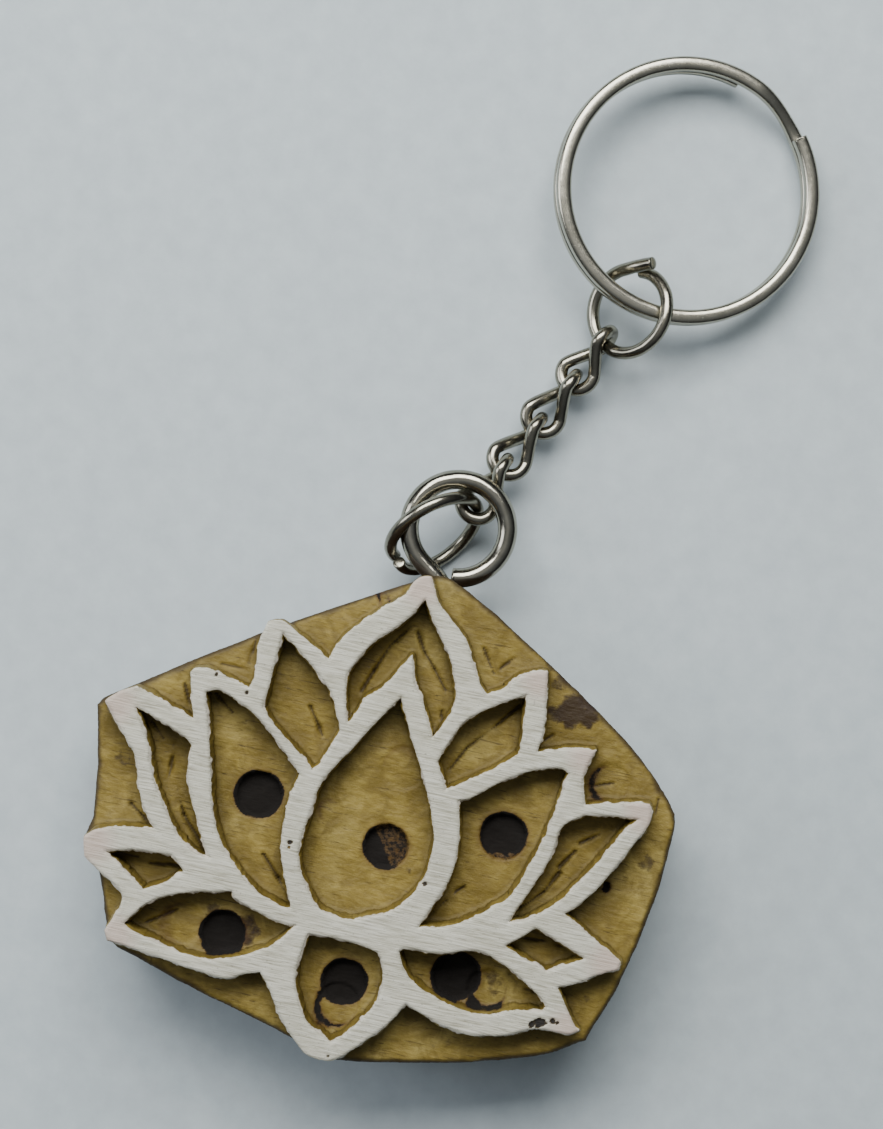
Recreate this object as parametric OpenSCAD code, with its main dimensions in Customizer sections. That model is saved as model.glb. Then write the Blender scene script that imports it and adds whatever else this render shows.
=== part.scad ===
// Keychain: a carved wooden printing block on a short twisted chain and a split ring.
// Units are millimetres.
// The block lies on its back with the carved face up (+Z).
// The screw eye leaves the block's top corner along +Y.
// The origin is on the back face, below the screw eye's shank, level with the middle of the block.

/* [Block] */
// Full thickness of the block, with the paint
block_t = 15; // [13:0.5:18]
// How far the ground is cut below the printing face
relief = 3; // [2:0.1:4]
// Thickness of the paint on the printing face
paint_t = 0.15; // [0.1:0.05:0.3]
// How much deeper than the ground the drilled pits go
pit_depth = 1; // [0.4:0.1:1.6]

/* [Screw eye] */
// Wire of the screw eye
eye_wire = 1.8; // [1.6:0.05:1.8]
// Length of the thread inside the wood
thread_len = 8; // [5:0.5:12]

/* [Chain] */
// Wire of a chain link
link_wire = 1.2; // [1:0.05:1.2]
// Wire of both jump rings
jump_wire = 1.2; // [1:0.05:1.2]

/* [Split ring] */
// Outside diameter of the split ring
ring_od = 25; // [24:0.1:25.4]
// Width of the split ring's wire, inside edge to outside edge
ring_w = 1.4; // [1.2:0.05:1.6]
// Thickness of one coil of the split ring
coil_t = 1.25; // [1.1:0.05:1.3]

/* [Hidden] */
$fn = 64;
ground_z = block_t - relief;
wood_top = block_t - paint_t;
eye_r = 4.55;
eye_z = 5.5;
eye_y = 27.5;
// the bent neck meets the shank here, inside the wood
neck_y = 20.7;
// the loop's angle where its end runs straight on to the shank
neck_at = 222;
loop_end = [eye_r * cos(neck_at), eye_y + eye_r * sin(neck_at), eye_z];
shank_d = eye_wire * 0.94;
flat_r = 1.6;
pin_r = 1.42;
link_len = 4.99;
lower_jump_r = 4.47;
upper_jump_r = 3.915;
coil_gap = 0.03;
ring_r = ring_od / 2 - ring_w / 2;

// ---- outlines of the carving, clockwise from the top, every corner chosen by hand ----

module block_outline() {
    polygon([
        [-2.4, 22.6], [-0.5, 22.95], [0.6, 22.7], [4.3, 20.9], [11.6, 16.5], [19.2, 11.5],
        [23.4, 7.6], [24.4, 6.3], [24.6, 4.8], [24.3, -1], [22.8, -9.1], [20.7, -15.3],
        [17.2, -17.4], [10, -19.6], [0, -21.6], [-3.2, -21.5], [-5, -20.6], [-14.2, -18.2],
        [-22.3, -15.8], [-23.5, -14.9], [-23.6, -14], [-25.2, -9.7], [-27.1, -6.3],
        [-26.8, -4.8], [-27.4, -0.1], [-28.5, 5.1], [-28.1, 5.9], [-15.5, 14.5], [-3, 21.9]
    ]);
}

// The raised flower: eleven petals round the rim, one outline.
module petal_rim() {
    polygon([
        [-2.3, 22.5], [-1.5, 22.7], [-1.1, 21.9], [0, 20.1], [2.3, 18.3], [3.1, 17.1],
        [4.7, 14.3], [5.5, 13.5], [6.9, 14.3], [8, 15.6], [9, 16.2], [10.4, 16.6],
        [10.6, 15.3], [11.1, 11.7], [11, 9.4], [13.3, 10.2], [14.7, 10.5], [16.1, 10.6],
        [15.7, 9.4], [15.5, 7.9], [16.1, 5.7], [18.4, 6.3], [21.7, 7], [22, 6.3],
        [22, 5.1], [20.7, 2.4], [19.1, -0.7], [17.6, -2.9], [16.3, -4.2], [19.1, -5.7],
        [22.1, -7.3], [22, -8], [20, -9.1], [18.9, -9.9], [17.1, -10.7], [19, -13.4],
        [19.7, -14.1], [18.9, -14.6], [16, -14.7], [13.7, -15.7], [11.7, -16.3], [10, -16.5],
        [8.1, -16.2], [5.1, -15.3], [4.2, -14.9], [3.4, -16.4], [2.3, -17.9], [0, -20.3],
        [-1.1, -21.2], [-2, -21.4], [-3.7, -21.1], [-6, -19], [-8.1, -16], [-9.1, -14.9],
        [-10.5, -15.4], [-12, -16.1], [-15.1, -15.9], [-18.6, -15.4], [-23, -14.9],
        [-23.4, -14.1], [-22.6, -11.9], [-22.4, -10.9], [-22.9, -10.2], [-25, -9.1],
        [-26.6, -8], [-26.9, -6.3], [-26, -5.5], [-24, -4.8], [-20.9, -4.4], [-22.3, -2.7],
        [-23.3, -0.4], [-23.7, 1.1], [-24.6, 2.4], [-26.6, 4.7], [-27.6, 5.9], [-26.6, 6.9],
        [-25.1, 7.8], [-22.6, 6.9], [-19.5, 5.9], [-20.4, 8.7], [-20.7, 9.9], [-20.3, 10.4],
        [-19.1, 10.6], [-16.3, 9.9], [-15.3, 9.7], [-15, 10.9], [-15.3, 13.7], [-14.9, 15.8],
        [-13.7, 16.1], [-11.9, 15.3], [-8.9, 13.6], [-8, 15.9], [-5.6, 18.6], [-3.4, 20.7],
        [-2.9, 21.9]
    ]);
}

// Petals cut out of the flower, down to the ground.
module top_pocket() {
    polygon([
        [-1.6, 20.6], [-3, 18.3], [-5.3, 15.9], [-6.7, 13.4], [-7, 12], [-6.4, 9.4],
        [-6, 8.4], [-5.5, 9.6], [-4.9, 11], [-3.9, 11.9], [-3, 13.3], [-1.7, 15.6],
        [-0.9, 13], [0, 11.9], [0.9, 10], [1.6, 8.7], [2.1, 9.7], [2.9, 11.9],
        [2.7, 13.4], [1.4, 16.3], [-0.6, 19]
    ]);
}

module left_pockets() {
    polygon([
        [-13.4, 15.1], [-13.5, 12.3], [-13.7, 8.2], [-12.4, 6.9], [-10, 5.1], [-8.3, 3.7],
        [-7.7, 4.4], [-6.6, 7.6], [-7.7, 10], [-8.9, 11.6], [-11.4, 13.6]
    ]);
    polygon([
        [-19, 8.5], [-18.1, 8.9], [-16.9, 8.7], [-14.3, 7.4], [-11.4, 5.1], [-9.3, 3.1],
        [-9.8, 0.4], [-9.6, -3.6], [-8.9, -5.7], [-7.6, -8.7], [-8.6, -8.7], [-10.9, -7.9],
        [-13, -6.3], [-14.9, -4.3], [-16.3, -1.4], [-17.3, 2.6], [-18.1, 5.4]
    ]);
    polygon([
        [-24.8, 5.9], [-22.3, 5.1], [-20, 4.2], [-19.2, 3.6], [-19.1, 1.1], [-18.1, -1.4],
        [-16.7, -4.1], [-15.6, -5.9], [-17.1, -5.6], [-18.9, -4.3], [-21.1, -1.4],
        [-22.4, 1], [-23.1, 2.9]
    ]);
    polygon([
        [-24.9, -7.2], [-21.9, -6.5], [-18.9, -6.3], [-17.6, -7.5], [-19.1, -8.9],
        [-20.8, -9.8], [-23.4, -8.1]
    ]);
    polygon([
        [-21.9, -13.2], [-20, -10.8], [-16.9, -9.3], [-13, -8.4], [-12.7, -8.9], [-10, -9.8],
        [-8, -10.3], [-6.8, -10.1], [-8.3, -12.1], [-10.6, -13.6], [-13.4, -14.6],
        [-15, -14.8], [-17.9, -14.4], [-20.9, -13.6]
    ]);
}

module middle_pockets() {
    polygon([
        [-1.9, 11.7], [-3, 9.9], [-4.4, 7.7], [-5.1, 6.3], [-6.9, 3.6], [-7.4, 2],
        [-7.9, -2], [-7.9, -4], [-7.4, -5.4], [-5.7, -7.8], [-4.6, -8.5], [-3.4, -8.7],
        [-2, -8.6], [0.9, -7.3], [2, -6.4], [3.4, -3.9], [3.6, -2.1], [3.6, -0.2],
        [2.7, 2.6], [1.4, 5.3], [-0.6, 8.9]
    ]);
    polygon([
        [-5.6, -10.6], [-2, -10.6], [0.9, -11], [1.4, -12], [1.7, -13.4], [1.7, -14.9],
        [1.3, -16], [-0.3, -18.4], [-1.7, -19.7], [-4.3, -18.1], [-5.7, -15.6], [-6, -14],
        [-5.9, -12.6]
    ]);
}

module right_pockets() {
    polygon([
        [9.1, 14.2], [6.6, 12.7], [4.1, 10.7], [2.9, 8], [2.5, 6.7], [3.7, 4.4],
        [5.1, 5.4], [7.4, 7.1], [9.4, 8.9], [9.4, 10]
    ]);
    polygon([
        [14.1, 8.1], [13.3, 8.4], [11, 7.7], [8.5, 6.2], [6, 4.1], [5, 3.7],
        [5.6, 1.4], [5.9, -2.1], [5.1, -5], [3.8, -8.1], [6.5, -7.4], [9.4, -5.4],
        [11.3, -3.6], [12.3, -0.9], [13.4, 3.1]
    ]);
    polygon([
        [21.1, 5.4], [18.1, 5.1], [16.1, 4.6], [14.5, 3.2], [14.1, 0.4], [13.1, -2.3],
        [11.5, -6], [13.1, -5.4], [15.7, -3.1], [17.3, -0.7], [18.9, 2.1], [20.4, 4.7]
    ]);
    polygon([
        [11.7, -8.1], [13.3, -6.7], [14.1, -5.9], [16.3, -6.7], [18.9, -7.7], [16.9, -8.9],
        [15.8, -9.6], [13.7, -8.8]
    ]);
    polygon([
        [2.6, -10.5], [2.9, -10.2], [6.4, -9.9], [8.9, -9.1], [10.3, -9.1], [13.1, -10.3],
        [15.7, -11.9], [16.5, -12.6], [16.1, -13.2], [14, -13.4], [11.7, -14.3],
        [10.1, -14.5], [7, -14], [4.4, -12.9], [3.4, -11.9]
    ]);
}

module flower() {
    difference() {
        petal_rim();
        top_pocket();
        left_pockets();
        middle_pockets();
        right_pockets();
    }
}

// Six pits drilled into the petals, and the radius of each.
pits = [[-12.65, 0.3, 2.05], [9.7, 1.2, 2.05], [-0.45, -1.9, 1.95], [-13.2, -12.6, 1.3],
    [-1.6, -14.6, 2], [8.1, -12, 1.5]];

// ---- wire shapes ----

// A round wire bent about the origin in the XY plane, from one angle to another.
module bend(r, d, from, to) {
    rotate([0, 0, from])
        rotate_extrude(angle = to - from)
            translate([r, 0])
                circle(d = d);
}

// A straight round wire between two points.
module rod(a, b, d) {
    v = b - a;
    translate(a)
        rotate([0, acos(v[2] / norm(v)), atan2(v[1], v[0])])
            cylinder(d = d, h = norm(v));
}

// The rounded corner where two lengths of wire meet. A turn can put the ball's poles inside
// the wire.
module corner(p, d, turn = [0, 0, 0]) {
    translate(p)
        rotate(turn)
            sphere(d = d * 1.03);
}

// One link, twisted a quarter turn between its ends. The flat bend is centred on the origin,
// and the upright bend, which hangs in the next link, lies toward +X.
module chain_link() {
    low_end = [flat_r * cos(97), flat_r * sin(97), 0];
    high_end = [flat_r * cos(293), flat_r * sin(293), 0];
    pin_x = link_len - pin_r;
    bend(flat_r, link_wire, 97, 293);
    translate([pin_x, 0, 0])
        rotate([90, 0, 0])
            bend(pin_r, link_wire, -90, 90);
    rod(low_end, [pin_x, 0, -pin_r], link_wire);
    rod(high_end, [pin_x, 0, pin_r], link_wire);
    for (p = [low_end, high_end, [pin_x, 0, -pin_r], [pin_x, 0, pin_r]])
        corner(p, link_wire);
}

// A jump ring whose two ends pass each other at +X. Each half leans about the wire opposite
// the ends, so the halves meet there without a kink. The last part of the first half can be
// bent out to a larger radius.
module jump_ring(r, overlap, lean, splay_r, splay) {
    translate([-r, 0, 0])
        rotate([0, -lean, 0])
            translate([r, 0, 0]) {
                bend(r, jump_wire, overlap, 180);
                if (splay > 0)
                    rotate([0, 0, overlap]) {
                        corner([r, 0, 0], jump_wire);
                        translate([r - splay_r, 0, 0])
                            rotate([0, 0, -splay])
                                bend(splay_r, jump_wire, 0, splay);
                    }
            }
    translate([-r, 0, 0])
        rotate([0, lean, 0])
            translate([r, 0, 0])
                bend(r, jump_wire, 180, 360);
    corner([-r, 0, 0], jump_wire);
}

// One coil of the split ring, from one angle to another, centred on z = 0.
module coil(from, to) {
    r = 0.3;
    rotate([0, 0, from])
        rotate_extrude(angle = to - from)
            translate([ring_r, 0]) {
                square([ring_w, coil_t - 2 * r], center = true);
                square([ring_w - 2 * r, coil_t], center = true);
                for (x = [-1, 1], y = [-1, 1])
                    translate([x * (ring_w / 2 - r), y * (coil_t / 2 - r)])
                        circle(r = r);
            }
}

// ---- the block ----

module wood_block() {
    color("BurlyWood")
        difference() {
            union() {
                linear_extrude(ground_z)
                    block_outline();
                translate([0, 0, ground_z - 0.01])
                    linear_extrude(wood_top - ground_z + 0.01)
                        flower();
            }
            for (p = pits)
                translate([p[0], p[1], ground_z - pit_depth])
                    cylinder(r = p[2], h = pit_depth + 0.5);
            screw_hole();
        }
}

// The hole the screw eye is turned into, the slanted groove its bent neck lies in, and the
// shallow groove that its loop rests in.
module screw_hole() {
    translate([0, neck_y, eye_z])
        rotate([90, 0, 0])
            cylinder(d = shank_d + 0.1, h = thread_len + 2.3);
    rod([0, neck_y, eye_z], loop_end, eye_wire + 0.1);
    corner([0, neck_y, eye_z], eye_wire + 0.1, [0, 90, neck_at + 90]);
    translate([0, eye_y, eye_z])
        bend(eye_r, eye_wire + 0.2, -90, -50);
}

module paint_coat() {
    color("Ivory")
        translate([0, 0, wood_top])
            linear_extrude(paint_t)
                flower();
}

module screw_eye() {
    color("Silver")
        union() {
            translate([0, eye_y, eye_z])
                bend(eye_r, eye_wire, -84, neck_at);
            rod(loop_end, [0, neck_y, eye_z], eye_wire);
            corner(loop_end, eye_wire, [0, 90, neck_at + 90]);
            corner([0, neck_y, eye_z], eye_wire, [0, 90, neck_at + 90]);
            translate([0, neck_y, eye_z])
                rotate([90, 0, 0])
                    rotate_extrude()
                        thread_profile();
        }
}

// Half of the shank's section: plain neck, cut thread, point.
module thread_profile() {
    r = shank_d / 2;
    turns = floor(thread_len);
    polygon(concat(
        [[0, 0], [r, 0]],
        [for (i = [0 : turns - 1]) each [[r, 1 + i], [r - 0.25, 1.5 + i]]],
        [[r - 0.1, 1 + turns], [0, 2.2 + turns]]
    ));
}

// ---- the chain, each piece placed where it lies ----

// Each row holds where a piece's own origin lies, then its turns about X, Y and Z.
link_1_place = [[7.92, 44.09, 2.08], [-17.45, -5.23, 63.3]];
link_2_place = [[5.6, 39.48, 1.97], [0, 0, 63.3]];
link_3_place = [[3.31, 34.93, 2.71], [0, 11.9, 63.3]];
link_4_place = [[1.27, 30.29, 3.7], [0, 10.8, 67.5]];
lower_ring_place = [[-2, 26.83, 3.89], [-62.33, 7.22, -129.96]];
upper_ring_place = [[11.35, 50.57, 3.71], [-38.67, 0.09, 90.39]];
split_ring_place = [[14.3, 62.7, 3.07], [-2.92, 7.52, -0.38]];

module put(place) {
    translate(place[0])
        rotate(place[1])
            children();
}

module chain_link_1() {
    color("Silver")
        put(link_1_place)
            chain_link();
}

module chain_link_2() {
    color("Silver")
        put(link_2_place)
            chain_link();
}

module chain_link_3() {
    color("Silver")
        put(link_3_place)
            chain_link();
}

module chain_link_4() {
    color("Silver")
        put(link_4_place)
            chain_link();
}

module lower_jump_ring() {
    color("Silver")
        put(lower_ring_place)
            jump_ring(lower_jump_r, -12, 4.3, 6, 0);
}

module upper_jump_ring() {
    color("Silver")
        put(upper_ring_place)
            jump_ring(upper_jump_r, 20, 4.6, 30, 6.6);
}

// Two coils of one wire. The last part of the upper coil slopes down into the lower one.
module split_ring() {
    step = coil_t + coil_gap;
    mid = 53;
    slope = asin(step / (2 * ring_r * sin(15.5)));
    color("Gainsboro")
        put(split_ring_place) {
            translate([0, 0, step / 2])
                coil(68.4, 397.5);
            translate([0, 0, -step / 2])
                coil(76.5, 397.5);
            rotate([0, 0, mid])
                rotate([slope, 0, 0])
                    coil(-15.6, 15.6);
        }
}

// ---- what is drawn ----

wood_block();
paint_coat();
screw_eye();
lower_jump_ring();
chain_link_1();
chain_link_2();
chain_link_3();
chain_link_4();
upper_jump_ring();
split_ring();
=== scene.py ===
# Looks of a carved printing-block keychain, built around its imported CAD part.
import math
import bpy
import numpy as np
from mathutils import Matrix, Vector


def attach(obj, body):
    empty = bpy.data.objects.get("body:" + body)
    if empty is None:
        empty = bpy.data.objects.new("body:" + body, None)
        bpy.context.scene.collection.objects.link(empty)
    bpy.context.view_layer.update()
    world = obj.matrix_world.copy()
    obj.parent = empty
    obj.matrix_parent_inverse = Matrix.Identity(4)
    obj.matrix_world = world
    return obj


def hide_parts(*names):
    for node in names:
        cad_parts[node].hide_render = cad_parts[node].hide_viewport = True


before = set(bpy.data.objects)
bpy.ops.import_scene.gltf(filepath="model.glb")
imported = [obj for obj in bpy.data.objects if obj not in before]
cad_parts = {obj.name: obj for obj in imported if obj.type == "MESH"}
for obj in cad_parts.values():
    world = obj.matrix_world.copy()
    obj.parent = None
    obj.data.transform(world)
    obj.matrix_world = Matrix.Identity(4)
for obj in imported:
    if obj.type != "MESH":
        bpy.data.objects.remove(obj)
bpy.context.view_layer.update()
mm = 0.001


def linearRgb(hexColour):
    # each channel: c/12.92 below 0.04045, else ((c + 0.055) / 1.055) to the power 2.4
    out = []
    for i in (1, 3, 5):
        c = int(hexColour[i:i + 2], 16) / 255
        out.append(c / 12.92 if c <= 0.04045 else ((c + 0.055) / 1.055) ** 2.4)
    return (*out, 1.0)


def addNode(tree, kind, settings=None, links=None):
    # settings: property or input values; links: input -> (node, output)
    n = tree.nodes.new(kind)
    for key, value in (settings or {}).items():
        if isinstance(key, str) and hasattr(n, key):
            setattr(n, key, value)
        else:
            n.inputs[key].default_value = value
    for key, (other, out) in (links or {}).items():
        tree.links.new(other.outputs[out], n.inputs[key])
    return n


def newMaterial(name):
    # material with an empty node tree
    m = bpy.data.materials.new(name)
    m.use_nodes = True
    m.node_tree.nodes.clear()
    return m, m.node_tree


def ramp(tree, source, stops, out=0, smooth="LINEAR"):
    # colour ramp fed by source; stops are (position, hex) pairs
    n = tree.nodes.new("ShaderNodeValToRGB")
    n.color_ramp.interpolation = smooth
    el = n.color_ramp.elements
    while len(el) < len(stops):
        el.new(0.5)
    for e, (pos, col) in zip(el, stops):
        e.position = pos
        e.color = linearRgb(col) if isinstance(col, str) else (col, col, col, 1)
    tree.links.new(source.outputs[out], n.inputs[0])
    return n


def mathNode(tree, op, a, b=None, clamp=False):
    # a and b are numbers or (node, output)
    n = tree.nodes.new("ShaderNodeMath")
    n.operation = op
    n.use_clamp = clamp
    for i, v in enumerate((a, b)):
        if v is None:
            continue
        if isinstance(v, tuple):
            tree.links.new(v[0].outputs[v[1]], n.inputs[i])
        else:
            n.inputs[i].default_value = v
    return n


def mixColour(tree, factor, a, b, mode="MIX"):
    # factor, a, b are numbers, hex colours or (node, output)
    n = tree.nodes.new("ShaderNodeMix")
    n.data_type = "RGBA"
    n.blend_type = mode
    for i, v in ((0, factor), (6, a), (7, b)):
        if isinstance(v, tuple) and not isinstance(v[0], float):
            tree.links.new(v[0].outputs[v[1]], n.inputs[i])
        elif isinstance(v, str):
            n.inputs[i].default_value = linearRgb(v)
        else:
            n.inputs[i].default_value = v
    return n


def meshObject(name, verts, tris, material, smooth=True, attributes=None, quads=None):
    # verts in millimetres; tris (n, 3), quads (m, 4); attributes: name -> one number per vertex
    mesh = bpy.data.meshes.new(name)
    quads = np.zeros((0, 4), int) if quads is None else quads
    tris = np.zeros((0, 3), int) if tris is None else tris
    nT, nQ = len(tris), len(quads)
    mesh.vertices.add(len(verts))
    mesh.vertices.foreach_set("co", (np.asarray(verts) * mm).astype(np.float32).ravel())
    mesh.loops.add(3 * nT + 4 * nQ)
    mesh.loops.foreach_set("vertex_index", np.concatenate([tris.ravel(), quads.ravel()]).astype(np.int32))
    mesh.polygons.add(nT + nQ)
    starts = np.concatenate([np.arange(nT) * 3, 3 * nT + np.arange(nQ) * 4])
    mesh.polygons.foreach_set("loop_start", starts.astype(np.int32))
    mesh.update(calc_edges=True)
    mesh.validate()
    mesh.polygons.foreach_set("use_smooth", np.full(len(mesh.polygons), smooth))
    for key, values in (attributes or {}).items():
        mesh.attributes.new(key, "FLOAT", "POINT").data.foreach_set("value", np.asarray(values, np.float32))
    mesh.materials.append(material)
    obj = bpy.data.objects.new(name, mesh)
    bpy.context.scene.collection.objects.link(obj)
    return obj


def hash2(ix, iy, seed):
    # pseudo-random number from 0 to 1 for whole-number cells
    h = (ix.astype(np.int64) * 374761393 + iy.astype(np.int64) * 668265263 + seed * 1442695041) & 0xffffffff
    h = ((h ^ (h >> 13)) * 1274126177) & 0xffffffff
    return ((h ^ (h >> 16)) & 0xffff) / 65535.0


def valueNoise(x, y, size, seed=0):
    # random cell corners blended with 3t^2 - 2t^3, about -1 to 1
    x, y = x / size, y / size
    ix, iy = np.floor(x), np.floor(y)
    fx, fy = x - ix, y - iy
    fx, fy = fx * fx * (3 - 2 * fx), fy * fy * (3 - 2 * fy)
    a, b = hash2(ix, iy, seed), hash2(ix + 1, iy, seed)
    c, d = hash2(ix, iy + 1, seed), hash2(ix + 1, iy + 1, seed)
    return 2 * ((a * (1 - fx) + b * fx) * (1 - fy) + (c * (1 - fx) + d * fx) * fy) - 1


def layeredNoise(x, y, size, seed=0, layers=3):
    # each layer half the size and half the height of the one before
    return sum(valueNoise(x, y, size / 2 ** k, seed + 31 * k) / 2 ** k for k in range(layers))


def flatLoops(node, z):
    # outlines of the node's faces that lie at height z: edges used by one such face, chained end to end
    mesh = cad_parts[node].data
    co = np.empty(len(mesh.vertices) * 3)
    mesh.vertices.foreach_get("co", co)
    co = co.reshape(-1, 3) / mm
    mesh.calc_loop_triangles()
    tri = np.empty(len(mesh.loop_triangles) * 3, np.int32)
    mesh.loop_triangles.foreach_get("vertices", tri)
    tri = tri.reshape(-1, 3)
    key = np.round(co, 3)
    uniq, index = np.unique(key, axis=0, return_inverse=True)
    tri = index.ravel()[tri]
    flat = tri[(np.abs(uniq[tri][:, :, 2] - z) < 0.02).all(1)]
    edges = np.concatenate([flat[:, [0, 1]], flat[:, [1, 2]], flat[:, [2, 0]]])
    _, first, count = np.unique(np.sort(edges, 1), axis=0, return_index=True, return_counts=True)
    follow = {int(a): int(b) for a, b in edges[first[count == 1]]}
    loops = []
    while follow:
        start, at = next(iter(follow.items()))
        run = [start]
        del follow[start]
        while at != start and at in follow:
            run.append(at)
            at = follow.pop(at)
        if len(run) > 2:
            loops.append(uniq[run][:, :2])
    return loops


def smoothLoop(p, parts=6, corner=42):
    # Catmull-Rom curve through the points; a turn sharper than `corner` degrees stays sharp
    before, after = np.roll(p, 1, 0), np.roll(p, -1, 0)
    a, b = p - before, after - p
    turn = np.degrees(np.abs(np.arctan2(a[:, 0] * b[:, 1] - a[:, 1] * b[:, 0], (a * b).sum(1))))
    sharp = turn > corner
    p0, p1, p2, p3 = before, p, after, np.roll(p, -2, 0)
    p0 = np.where(sharp[:, None], 2 * p1 - p2, p0)
    p3 = np.where(np.roll(sharp, -1)[:, None], 2 * p2 - p1, p3)
    # a long side next to a short one would overshoot, so the handles are held to the side's own length
    side = np.linalg.norm(p2 - p1, axis=1)[:, None]
    m1, m2 = (p2 - p0) / 2, (p3 - p1) / 2
    m1 *= np.minimum(1, side / (np.linalg.norm(m1, axis=1)[:, None] + 1e-9))
    m2 *= np.minimum(1, side / (np.linalg.norm(m2, axis=1)[:, None] + 1e-9))
    t = (np.arange(parts) / parts)[None, :, None]
    p1, p2, m1, m2 = (v[:, None] for v in (p1, p2, m1, m2))
    curve = ((2 * t**3 - 3 * t**2 + 1) * p1 + (t**3 - 2 * t**2 + t) * m1
             + (-2 * t**3 + 3 * t**2) * p2 + (t**3 - t**2) * m2)
    return curve.reshape(-1, 2)


def signedDistance(x, y, loops, reach=1e9):
    # distance to the nearest side, plus inside (odd number of crossings) and minus outside
    a = np.concatenate(loops)
    b = np.concatenate([np.roll(p, -1, 0) for p in loops])
    d = b - a
    length2 = (d * d).sum(1) + 1e-12
    best = np.full(x.size, 1e9)
    odd = np.zeros(x.size, bool)
    px, py = x.ravel(), y.ravel()
    for i in range(0, x.size, 4096):
        qx, qy = px[i:i + 4096, None], py[i:i + 4096, None]
        near = ((a[:, 0] > qx.min() - reach) & (a[:, 0] < qx.max() + reach)
                & (a[:, 1] > qy.min() - reach) & (a[:, 1] < qy.max() + reach))
        n = np.nonzero(near)[0]
        if len(n):
            t = np.clip(((qx - a[n, 0]) * d[n, 0] + (qy - a[n, 1]) * d[n, 1]) / length2[n], 0, 1)
            gap2 = (qx - a[n, 0] - t * d[n, 0]) ** 2 + (qy - a[n, 1] - t * d[n, 1]) ** 2
            best[i:i + 4096] = np.sqrt(gap2.min(1))
        beside = (np.maximum(a[:, 1], b[:, 1]) >= qy.min()) & (np.minimum(a[:, 1], b[:, 1]) <= qy.max())
        c = np.nonzero(beside)[0]
        cross = (a[c, 1] > qy) != (b[c, 1] > qy)
        at = a[c, 0] + (qy - a[c, 1]) * d[c, 0] / np.where(d[c, 1] == 0, 1e-12, d[c, 1])
        odd[i:i + 4096] = ((cross & (qx < at)).sum(1) % 2).astype(bool)
    return (np.minimum(best, reach) * np.where(odd, 1, -1)).reshape(x.shape)


# polygons of one grid cell for each pattern of inside corners: 0-3 corners, 4-7 sides
cellCases = {
    1: [[0, 4, 7]], 2: [[1, 5, 4]], 3: [[0, 1, 5, 7]], 4: [[2, 6, 5]], 5: [[0, 4, 7], [2, 6, 5]],
    6: [[1, 2, 6, 4]], 7: [[0, 1, 2, 6, 7]], 8: [[3, 7, 6]], 9: [[0, 4, 6, 3]],
    10: [[1, 5, 4], [3, 7, 6]], 11: [[0, 1, 5, 6, 3]], 12: [[2, 3, 7, 5]],
    13: [[0, 4, 5, 2, 3]], 14: [[1, 2, 3, 7, 4]], 15: [[0, 1, 2, 3]]}


def cutSheet(xs, ys, f):
    # flat sheet covering f > 0: whole cells inside, cells on the outline cut where f crosses zero.
    # Gives points, triangles, quads and the outline's sides with the sheet on their left.
    step = xs[1] - xs[0]
    f = np.where(np.abs(f) < 0.15 * step, np.where(f >= 0, 0.15, -0.15) * step, f)
    nx, ny = len(xs), len(ys)
    gx, gy = np.meshgrid(xs, ys, indexing="ij")
    inside = f > 0
    cross = (inside[:-1] != inside[1:], inside[:, :-1] != inside[:, 1:])
    tx = f[:-1] / np.where(cross[0], f[:-1] - f[1:], 1)
    ty = f[:, :-1] / np.where(cross[1], f[:, :-1] - f[:, 1:], 1)
    ids, points, total = [], [], 0
    for mask, px, py in ((inside, gx, gy),
                         (cross[0], gx[:-1] + tx * step, gy[:-1]),
                         (cross[1], gx[:, :-1], gy[:, :-1] + ty * step)):
        number = np.full(mask.shape, -1)
        number[mask] = total + np.arange(mask.sum())
        total += mask.sum()
        ids.append(number)
        points.append(np.stack([px[mask], py[mask]], 1))
    corner, alongX, alongY = ids
    codes = [corner[:-1, :-1], corner[1:, :-1], corner[1:, 1:], corner[:-1, 1:],
             alongX[:, :-1], alongY[1:], alongX[:, 1:], alongY[:-1]]
    codes = np.stack([c.ravel() for c in codes], 1)
    pattern = (inside[:-1, :-1] * 1 + inside[1:, :-1] * 2 + inside[1:, 1:] * 4 + inside[:-1, 1:] * 8).ravel()
    tris, sides, quads = [], [], None
    for case, polygons in cellCases.items():
        rows = codes[pattern == case]
        for poly in polygons:
            if case == 15:
                quads = rows[:, poly]
                continue
            tris += [rows[:, [poly[0], poly[k], poly[k + 1]]] for k in range(1, len(poly) - 1)]
            sides += [rows[:, [p, q]] for p, q in zip(poly, poly[1:] + poly[:1]) if p > 3 and q > 3]
    return np.concatenate(points), np.concatenate(tris), quads, np.concatenate(sides)


def outwardAt(points, sides):
    # unit direction away from the sheet at each outline point, averaged from its two sides
    d = points[sides[:, 1]] - points[sides[:, 0]]
    n = np.stack([d[:, 1], -d[:, 0]], 1)
    total = np.zeros_like(points)
    np.add.at(total, sides[:, 0], n)
    np.add.at(total, sides[:, 1], n)
    return total / (np.linalg.norm(total, axis=1)[:, None] + 1e-12)


def curtain(points, sides, rows):
    # wall hanging from the outline; rows are (n, 3) arrays of the wall's points at each level, top first
    used, local = np.unique(sides, return_inverse=True)
    local = local.reshape(-1, 2)
    verts = np.concatenate([r[used] for r in rows])
    n = len(used)
    left, right = local.T
    quads = [np.stack([left + k * n, left + (k + 1) * n, right + (k + 1) * n, right + k * n], 1)
             for k in range(len(rows) - 1)]
    return verts, np.concatenate(quads), used


# What a user would change about the block. Lengths in millimetres.
carving = {
    "groundStep": 0.17,   # spacing of the ground's points
    "paintStep": 0.125,   # spacing of the printing face's points
    "groundZ": 12.0,
    "faceZ": 15.0,
    "wobble": 0.05,       # how unsteady the knife was
    "rimDrop": 0.35,      # how far the block's edge is rounded over
}

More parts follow.
